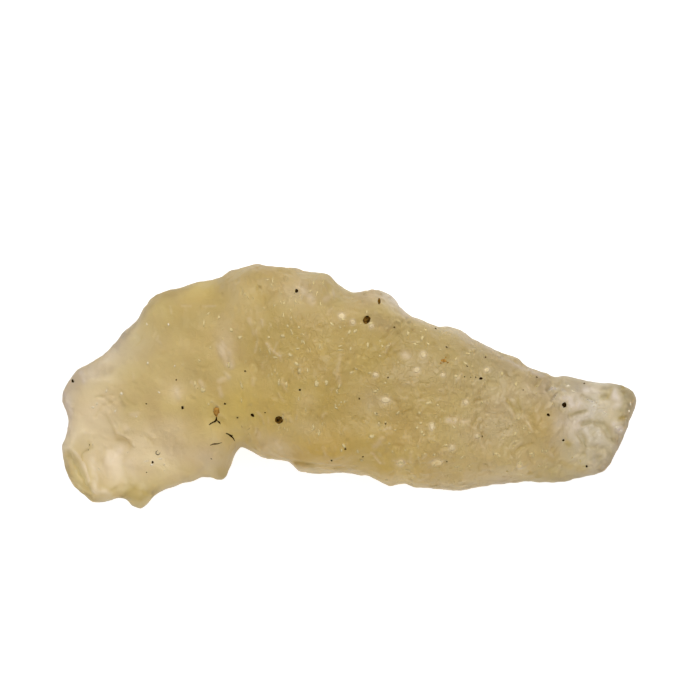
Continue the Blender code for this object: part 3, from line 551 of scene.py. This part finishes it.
def carve(points, normals, relief, tree):
    """The points moved by the given relief, fine ripples and small rounded pits."""
    steep = 1 - np.abs(normals[:, 2])
    ripples = sum(height * ripple(points, size, seed) for size, height, seed in RIPPLES)
    relief = relief + (1 + steep) * ripples
    finder = kdtree.KDTree(len(points))
    for i, point in enumerate(points):
        finder.insert(point, i)
    finder.balance()
    for x, y, side, radius, depth, stretch in pit_list():
        hit, _ = surface_under(tree, x, y, side)
        if hit is None:
            continue
        for _, i, _ in finder.find_range(hit, radius * max(stretch, 1)):
            gap = points[i] - np.array(hit)
            flat = math.hypot(gap[0], gap[1] / stretch) / radius
            reach = min(1.0, math.hypot(flat, gap[2] / radius * 0.6))
            relief[i] -= depth * (1 - reach**2) ** 1.5
    return points + normals * relief[:, None]


def distance_to_path(points, path):
    """Distance in plan of each point to a line of straight pieces."""
    nearest = np.full(len(points), 1e9)
    path = np.array(path, float)
    for start, end in zip(path[:-1], path[1:]):
        along = end - start
        t = np.clip((points[:, :2] - start) @ along / (along @ along), 0, 1)
        gap = points[:, :2] - start - t[:, None] * along
        nearest = np.minimum(nearest, np.hypot(gap[:, 0], gap[:, 1]))
    return nearest


def creases():
    """Every ridge and crease: the ones that can be told apart, and seeded short ones between them."""
    spread = random.Random(SEED + 3)
    lines = list(STROKES)
    for x0, x1, y0, y1, count, turn, wander, tallest in CREASE_FIELDS:
        for _ in range(count):
            x, y = spread.uniform(x0, x1), spread.uniform(y0, y1)
            angle = math.radians(spread.gauss(turn, wander))
            path = [(x, y)]
            for _ in range(CREASE_STEPS):
                step = spread.uniform(*CREASE_STEP)
                x, y = x + step * math.cos(angle), y + step * math.sin(angle)
                path.append((x, y))
                angle += spread.gauss(0, CREASE_BEND)
            height = spread.uniform(*CREASE_HEIGHT) * tallest * spread.choice((1, -1))
            # Painted highlight: a ridge is tinted cream. Painted shade: a crease is tinted olive.
            tint = "cream" if height > 0 else "olive"
            half = spread.uniform(*CREASE_HALF_WIDTH)
            lines.append((tint, path, half, height, spread.uniform(*CREASE_TINT)))
    return lines


class Skin:
    """What the marks on the upper face do to the stone's points: their relief and their tints, some of
    these painted highlight and painted shade.
    """

    def __init__(self, points, normals):
        self.points = points
        self.upper = np.clip(normals[:, 2] * 2, 0, 1)  # fades out down the walls
        self.relief = np.zeros(len(points))
        names = (*TINT_COLOURS, "crinkle")
        self.tints = {name: strength_of(TINTS.get(name, []), points) for name in names}

    def lay(self, tint, shape, strength):
        """Put a tint on, and take what was there before away."""
        shape = shape * strength * self.upper
        for other, values in self.tints.items():
            if other == tint:
                np.maximum(values, shape, out=values)
            elif other != "crinkle":
                values *= 1 - COVER * shape

    def add_forms(self):
        """Soft swellings and hollows."""
        for *place, height in FORMS:
            self.relief += height * spot_shape(self.points, *place) * self.upper

    def add_creases(self):
        """Ridges and creases, with wavering sides and broken in places, each with its tint: in places the
        glass's own colour, in places painted highlight on the ridges and painted shade in the creases.
        """
        wobble = 0.5 * ripple(self.points, 0.8, 9)
        broken = np.clip(0.95 + 0.9 * ripple(self.points, 0.55, 4), 0.2, 1)
        for tint, path, half, height, strength in creases():
            gap = distance_to_path(self.points, path) / half + wobble
            shape = np.exp(-(gap**2)) * broken
            self.relief += height * shape * self.upper
            self.lay(tint, shape, strength)

    def add_spots(self):
        """Paler glass round each spherule."""
        share, strength = CAP_TINT
        for x, y, length, width in SPHERULES:
            spot = spot_shape(self.points, x, y, share * length, share * width, 0)
            self.lay("cream", spot, strength)


def squared_reach(points, x, y, length, width, turn):
    """The square of each point's distance in plan from a place, measured in its half sizes."""
    c, s = math.cos(math.radians(turn)), math.sin(math.radians(turn))
    u = ((points[:, 0] - x) * c + (points[:, 1] - y) * s) / length
    v = (-(points[:, 0] - x) * s + (points[:, 1] - y) * c) / width
    return u**2 + v**2


def spot_shape(points, *place):
    """How strongly a small soft-edged spot on the upper face acts at each point."""
    return np.exp(-(squared_reach(points, *place) ** 1.5)) * (points[:, 2] > UPPER_FACE_FROM)


def strength_of(places, points):
    """How strongly a tint shows at each point."""
    total = np.zeros(len(points))
    for *place, strength in places:
        total += strength * np.exp(-squared_reach(points, *place))
    return np.clip(total, 0, 1)


def blob(seed, centre, axes, rough, detail=2):
    """A small uneven lump: its points and faces."""
    bm = bmesh.new()
    bmesh.ops.create_icosphere(bm, subdivisions=detail, radius=1.0)
    points = []
    for v in bm.verts:
        swell = 1 + rough * noise.noise(v.co * 1.7 + Vector((seed * 3.1, 0, 0)))
        points.append(centre + swell * (v.co.x * axes[0] + v.co.y * axes[1] + v.co.z * axes[2]))
    faces = [tuple(v.index for v in f.verts) for f in bm.faces]
    bm.free()
    return points, faces


def joined(name, parts):
    """One object from many (points, faces)."""
    points, faces = [], []
    for some_points, some_faces in parts:
        shift = len(points)
        points += some_points
        faces += [tuple(i + shift for i in face) for face in some_faces]
    return new_object(name, points, faces)


def skin_axes(normal, length, width, height, turn):
    """Three axes of a lump that lies along the skin, turned about its normal."""
    along = Vector((math.cos(math.radians(turn)), math.sin(math.radians(turn)), 0))
    along = (along - along.dot(normal) * normal).normalized()
    return along * length, normal.cross(along) * width, normal * height


def film(tree, x, y, length, width, turn, middle, rim):
    """A round patch that follows the skin: its points, raised by middle to rim, and its faces."""
    c, s = math.cos(math.radians(turn)), math.sin(math.radians(turn))
    points, faces = [], []
    for j in range(RINGS + 1):
        for i in range(AROUND):
            angle = 2 * math.pi * i / AROUND
            place = Vector((1.5 * math.cos(angle), 1.5 * math.sin(angle), x))
            share = j / RINGS * (1 + RIM_WAVE * noise.noise(place))
            u, v = share * (length * math.cos(angle)), share * (width * math.sin(angle))
            hit, _ = surface_under(tree, x + u * c - v * s, y + u * s + v * c)
            lift = middle + (rim - middle) * (j / RINGS) ** 4
            lift += HEIGHT_WAVE * noise.noise(Vector((9 * u, 9 * v, x)))
            points.append(hit + Vector((0, 0, lift)))
    for j in range(RINGS):
        for i in range(AROUND):
            a, b = j * AROUND + i, j * AROUND + (i + 1) % AROUND
            faces.append((a, a + AROUND, b + AROUND, b))
    return points, faces


def joined_films(name, films):
    """One object from many patches, each with a thin wall."""
    made = joined(name, films)
    wall = made.modifiers.new("wall", "SOLIDIFY")
    wall.thickness = FILM_WALL * MM
    return made


def spherule_caps(tree):
    """The parts of the spherules that show in the skin: flat lenses, the lower ones a lighter, deeper
    yellow, painted light on the side turned from the lamp.
    """
    caps = {"spherule_caps": [], "yellow_caps": []}
    for x, y, length, width in SPHERULES:
        name = "yellow_caps" if y < YELLOW_BELOW else "spherule_caps"
        size = CAP_SHARE * length, CAP_SHARE * width
        caps[name].append(film(tree, x, y, *size, 0, CAP_MIDDLE, CAP_RIM))
    return [joined_films(name, films) for name, films in caps.items()]


def bubble_linings(tree):
    """Films of dark dirt in the bowls of the bubbles that the surface has cut open."""
    films = [film(tree, *bubble, LINING, LINING) for bubble in OPEN_BUBBLES]
    return joined_films("bubble_linings", films)


def flecks(tree):
    """Tiny pale grains and streaks, set almost flush in the skin; the white ones at the tip and the left
    end are partly painted glints.
    """
    spread = random.Random(SEED + 8)
    patch, bare = BARE_PATCH
    marks = list(PALE_MARKS)
    for x0, x1, y0, y1, count, sizes, stretch in FLECK_FIELDS:
        while count:
            x, y = spread.uniform(x0, x1), spread.uniform(y0, y1)
            if noise.noise(Vector((x / patch, y / patch, 3.7))) < bare:
                continue
            size, turn = spread.uniform(*sizes), spread.gauss(90, 16 if stretch > 2 else 60)
            marks.append((x, y, size * stretch * spread.uniform(0.8, 1.6), size, turn))
            count -= 1
    parts = {}
    for k, (x, y, length, width, turn) in enumerate(marks):
        hit, normal = surface_under(tree, x, y)
        if hit is None or normal.z < STEEPEST:
            continue
        height = FLECK_HEIGHT[0] + FLECK_HEIGHT[1] * min(length, width)
        axes = skin_axes(normal, length, width, height, turn)
        # White where the glass is pale: partly pale grains, partly painted glints.
        pale_glass = x < PALE_END or (x > CLEAR_TIP[0] and y > CLEAR_TIP[1])
        lump = blob(k + FLAKE_SEED, hit - normal * height * FLECK_SUNK, axes, 0.45)
        parts.setdefault("white_flecks" if pale_glass else "pale_flecks", []).append(lump)
    return [joined(name, lumps) for name, lumps in parts.items()]


def dark_grains(tree):
    """The black grains, and the smallest ones, which look brown."""
    parts = {}
    for k, (x, y, radius) in enumerate(DARK_GRAINS):
        hit, normal = surface_under(tree, x, y)
        if hit is None:
            continue
        normal = (normal + Vector((0, 0, 2))).normalized()  # so that it looks round from above
        turn = 61.0 * k
        longer = 1.15 if radius < BIG_GRAIN else 1.0
        axes = skin_axes(normal, radius * longer, radius * 0.9, radius * 0.55, turn)
        rough = 0.35 if radius > MIDDLE_GRAIN else 0.7
        lump = blob(k + GRAIN_SEED, hit - normal * radius * GRAIN_SUNK, axes, rough)
        parts.setdefault("black_grains" if radius > BROWN_GRAIN else "brown_grains", []).append(lump)
    return [joined(name, lumps) for name, lumps in parts.items()]


def rust_grains(tree):
    """Lumps of rust, sunk a little in the skin."""
    parts = []
    for k, (x, y, length, width, turn) in enumerate(RUST_GRAINS):
        hit, normal = surface_under(tree, x, y)
        if hit is None:
            continue
        axes = skin_axes(normal, length, width, width * 0.5, turn)
        parts.append(blob(k + RUST_SEED, hit - normal * width * RUST_SUNK, axes, 0.5, 3))
    return joined("rust_grains", parts)


def spine_of(path):
    """Closely set places along a line of straight pieces."""
    spine = []
    for (x0, y0), (x1, y1) in zip(path[:-1], path[1:]):
        for t in np.arange(0, 1, CRACK_STEP):
            spine.append((x0 + (x1 - x0) * t, y0 + (y1 - y0) * t))
    return spine + [path[-1]]


def thread(tree, path, half):
    """A thin uneven thread along the surface, thinner towards its ends: its points and faces."""
    points, faces = [], []
    spine = spine_of(path)
    for k, (x, y) in enumerate(spine):
        hit, normal = surface_under(tree, x, y)
        (x0, y0), (x1, y1) = spine[max(k - 1, 0)], spine[min(k + 1, len(spine) - 1)]
        along = Vector((x1 - x0, y1 - y0, 0)).normalized()
        across = normal.cross(along).normalized()
        taper = math.sin(math.pi * (0.12 + 0.8 * k / (len(spine) - 1)))
        size = half * taper * (1 + 0.5 * noise.noise(Vector((x * 5, y * 5, 0))))
        for turn in range(CRACK_SIDES):
            angle = turn * 2 * math.pi / CRACK_SIDES
            points.append(hit + size * (math.cos(angle) * across + math.sin(angle) * normal))
    for k in range(0, len(points) - CRACK_SIDES, CRACK_SIDES):
        for turn in range(CRACK_SIDES):
            a, b = k + turn, k + (turn + 1) % CRACK_SIDES
            faces.append((a, b, b + CRACK_SIDES, a + CRACK_SIDES))
    faces.append(tuple(reversed(range(CRACK_SIDES))))
    faces.append(tuple(range(len(points) - CRACK_SIDES, len(points))))
    return points, faces


def cracks(tree):
    """Every thread of dirt in a crack."""
    return joined("dirt_cracks", [thread(tree, path, half) for path, half in CRACKS])


class Nodes:
    """Short names for making a material's nodes."""

    def __init__(self, name):
        self.material = bpy.data.materials.new(name)
        self.material.use_nodes = True
        self.tree = self.material.node_tree
        self.shader = self.tree.nodes["Principled BSDF"]
        self.out = self.tree.nodes["Material Output"]

    def add(self, kind, **values):
        """A node, with values for its inputs or its own settings."""
        node = self.tree.nodes.new(kind)
        for key, value in values.items():
            if key in node.inputs:
                node.inputs[key].default_value = value
            else:
                setattr(node, key, value)
        return node

    def link(self, start, end):
        """Join an output to an input."""
        self.tree.links.new(start, end)

    def set(self, **values):
        """Give values to the shader's inputs."""
        for key, value in values.items():
            self.shader.inputs[key.replace("_", " ")].default_value = value

    def ramp(self, source, *stops):
        """The source's value turned into colours, from stops of a position and a colour."""
        node = self.add("ShaderNodeValToRGB")
        while len(node.color_ramp.elements) < len(stops):
            node.color_ramp.elements.new(0.5)
        for element, (position, colour) in zip(node.color_ramp.elements, stops):
            element.position = position
            element.color = (*colour, 1)
        self.link(source, node.inputs[0])
        return node.outputs[0]

    def mixed(self, share, under, colour):
        """The colour laid over what is under it, as strongly as share says."""
        mix = self.add("ShaderNodeMix", data_type="RGBA")
        self.link(share, mix.inputs["Factor"])
        self.link(under, mix.inputs[6])
        mix.inputs[7].default_value = (*colour, 1)
        return mix.outputs[2]

    def times(self, first, second):
        """The product of two values."""
        product = self.add("ShaderNodeMath", operation="MULTIPLY")
        self.link(first, product.inputs[0])
        self.link(second, product.inputs[1])
        return product.outputs[0]

    def noise(self, scale, detail=3.0, seed=0.0, twist=0.0):
        """Noise in the stone's own space, scale in lumps per metre."""
        place = self.add("ShaderNodeTexCoord")
        shift = self.add("ShaderNodeMapping", Location=(seed, 0, 0))
        self.link(place.outputs["Object"], shift.inputs[0])
        node = self.add("ShaderNodeTexNoise", Scale=scale, Detail=detail, Distortion=twist)
        self.link(shift.outputs[0], node.inputs["Vector"])
        return node.outputs["Fac"]

    def mark(self, name):
        """A tint's strength at each place on the stone."""
        return self.add("ShaderNodeAttribute", attribute_name=name).outputs["Fac"]


def grey(value):
    """A colour without hue, which a ramp also uses for plain numbers."""
    return (value,) * 3


def glass_colour(made, crinkle):
    """The glass's own colour, its tints, some of them painted highlight and painted shade, and small pale
    and dim specks where it is crinkled.
    """
    base = made.ramp(made.noise(420, 3), (0.38, GLASS_COLOURS[0]), (0.62, GLASS_COLOURS[1]))
    for name, colour in TINT_COLOURS.items():
        base = made.mixed(made.mark(name), base, colour)
    pale = made.ramp(made.noise(2300, 2, 3.0), (0.62, grey(0)), (0.69, grey(0.42)))
    base = made.mixed(made.times(pale, crinkle), base, PALE_SPECK)
    dim = made.ramp(made.noise(2600, 2, 9.0), (0.63, grey(0)), (0.70, grey(0.45)))
    base = made.mixed(made.times(dim, crinkle), base, DIM_SPECK)
    made.link(base, made.shader.inputs["Base Color"])


def glass_frost(made):
    """Rougher and smoother patches. The grey glass of the clear tip is smoother."""
    frost = made.ramp(made.noise(900, 2, 2.0), (0.3, grey(0.38)), (0.7, grey(0.54)))
    made.link(made.mixed(made.mark("grey"), frost, grey(0.24)), made.shader.inputs["Roughness"])


def glass_dimples(made, crinkle):
    """Dimples, wrinkles, lines and waves too fine for the mesh, each with its depth in metres."""
    swirl = made.noise(950, 1, 8.0, 1.6)
    line = made.ramp(swirl, (0.45, grey(0)), (0.495, grey(1)), (0.54, grey(0)))
    cells = made.add("ShaderNodeTexVoronoi", feature="SMOOTH_F1", Scale=1500.0, Smoothness=0.5)
    made.link(made.add("ShaderNodeTexCoord").outputs["Object"], cells.inputs["Vector"])
    normal = None
    for height, depth in (
        (made.times(cells.outputs["Distance"], crinkle), 0.00016),
        (made.times(made.noise(2100, 2, 6.0, 0.8), crinkle), 0.00018),
        (made.times(line, crinkle), 0.00008),
        (made.noise(1000, 2, 5.0), 0.00012),
    ):
        bump = made.add("ShaderNodeBump", Strength=0.6, Distance=depth)
        made.link(height, bump.inputs["Height"])
        if normal:
            made.link(normal, bump.inputs["Normal"])
        normal = bump.outputs[0]
    made.link(normal, made.shader.inputs["Normal"])


def glass_material():
    """See-through glass under a frosted, finely dimpled skin, tinted where the marks say."""
    made = Nodes("desert_glass")
    made.set(IOR=1.46, Transmission_Weight=0.66)
    crinkle = made.mark("crinkle")
    glass_colour(made, crinkle)
    glass_frost(made)
    glass_dimples(made, crinkle)
    soak = made.add("ShaderNodeVolumeAbsorption", Color=SOAK_COLOUR, Density=SOAK_DENSITY)
    made.link(soak.outputs[0], made.out.inputs["Volume"])
    return made.material


def mineral_material(name):
    """A dull mineral, uneven in colour."""
    dark, light, scale, shine = MINERALS[name]
    made = Nodes(name)
    made.set(Roughness=0.85, IOR=1.5, Specular_IOR_Level=shine)
    colour = made.ramp(made.noise(scale, 3), (0.35, dark), (0.65, light))
    made.link(colour, made.shader.inputs["Base Color"])
    return made.material


def keep(piece, material):
    """Give a piece its material and its body."""
    piece.data.materials.clear()
    piece.data.materials.append(material)
    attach(piece, "root")


def make_stone():
    """The glass with its fine relief and tints. Gives back a tree that finds places on its skin."""
    mesh = fine_skin(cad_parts[STONE])
    points = read_points(mesh)
    normals = read_points(mesh, "normals", "vector")
    faces = [tuple(p.vertices) for p in mesh.polygons]
    tree = BVHTree.FromPolygons([Vector(p) for p in points], faces)
    skin = Skin(points, normals)
    skin.add_forms()
    skin.add_creases()
    skin.add_spots()
    points = carve(points, normals, skin.relief, tree)
    points[:, 2] = np.maximum(points[:, 2], 0)
    stone = new_object("glass_stone", points, faces)
    for name, values in skin.tints.items():
        tint = stone.data.attributes.new(name, "FLOAT", "POINT")
        tint.data.foreach_set("value", values.astype(np.float32))
    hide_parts(STONE)
    keep(stone, glass_material())
    return BVHTree.FromPolygons([Vector(p) for p in points], faces)


def make_inclusions(tree):
    """What is sealed in the glass or caught in its skin."""
    materials = {name: mineral_material(name) for name in MINERALS}
    for piece in spherule_caps(tree) + flecks(tree):
        keep(piece, materials[PALE_PIECES[piece.name]])
    for lumps in dark_grains(tree):
        look = "dark_grain" if lumps.name == "black_grains" else "brown_grain"
        keep(lumps, materials[look])
    keep(rust_grains(tree), materials["rust_grain"])
    keep(bubble_linings(tree), materials["brown_dirt"])
    keep(cracks(tree), materials["dark_grain"])


def make_paper():
    """White paper under the stone."""
    corners = [(x * PAPER_HALF, y * PAPER_HALF, 0) for x, y in ((-1, -1), (1, -1), (1, 1), (-1, 1))]
    floor = new_object("floor", corners, [(0, 1, 2, 3)])
    paper = Nodes("white_paper")
    paper.set(Roughness=0.9, Base_Color=PAPER_GREY)
    paper.set(Emission_Color=WHITE, Emission_Strength=PAPER_GLOW)
    floor.data.materials.append(paper.material)


def make_lights(scene):
    """Even light all round, and one soft lamp that points at the stone."""
    world = bpy.data.worlds.new("studio")
    scene.world = world
    world.use_nodes = True
    sky = world.node_tree.nodes["Background"]
    sky.inputs["Color"].default_value = WHITE
    sky.inputs["Strength"].default_value = SKY_STRENGTH

    key = bpy.data.lights.new("key", "AREA")
    key.shape = "DISK"
    key.size = LAMP_SIZE
    key.energy = LAMP_POWER
    lamp = bpy.data.objects.new("key", key)
    lamp.location = LAMP_PLACE
    lamp.rotation_euler = (-Vector(LAMP_PLACE)).to_track_quat("-Z", "Y").to_euler()
    scene.collection.objects.link(lamp)


def make_camera(scene):
    """The camera, and how light is followed through the glass."""
    camera = bpy.data.cameras.new("camera")
    camera.sensor_width = SENSOR
    camera.lens = SENSOR * (CAMERA_HEIGHT - RIM_HEIGHT) / VIEW_WIDTH
    camera.clip_start, camera.clip_end = 0.01, 10.0
    eye = bpy.data.objects.new("camera", camera)
    eye.location = (VIEW_CENTRE[0] * MM, VIEW_CENTRE[1] * MM, CAMERA_HEIGHT * MM)
    scene.collection.objects.link(eye)
    scene.camera = eye
    scene.view_settings.view_transform = "Standard"
    scene.cycles.transmission_bounces = 12
    scene.cycles.max_bounces = 16
    scene.cycles.caustics_refractive = True


make_paper()
make_lights(bpy.context.scene)
make_camera(bpy.context.scene)
make_inclusions(make_stone())
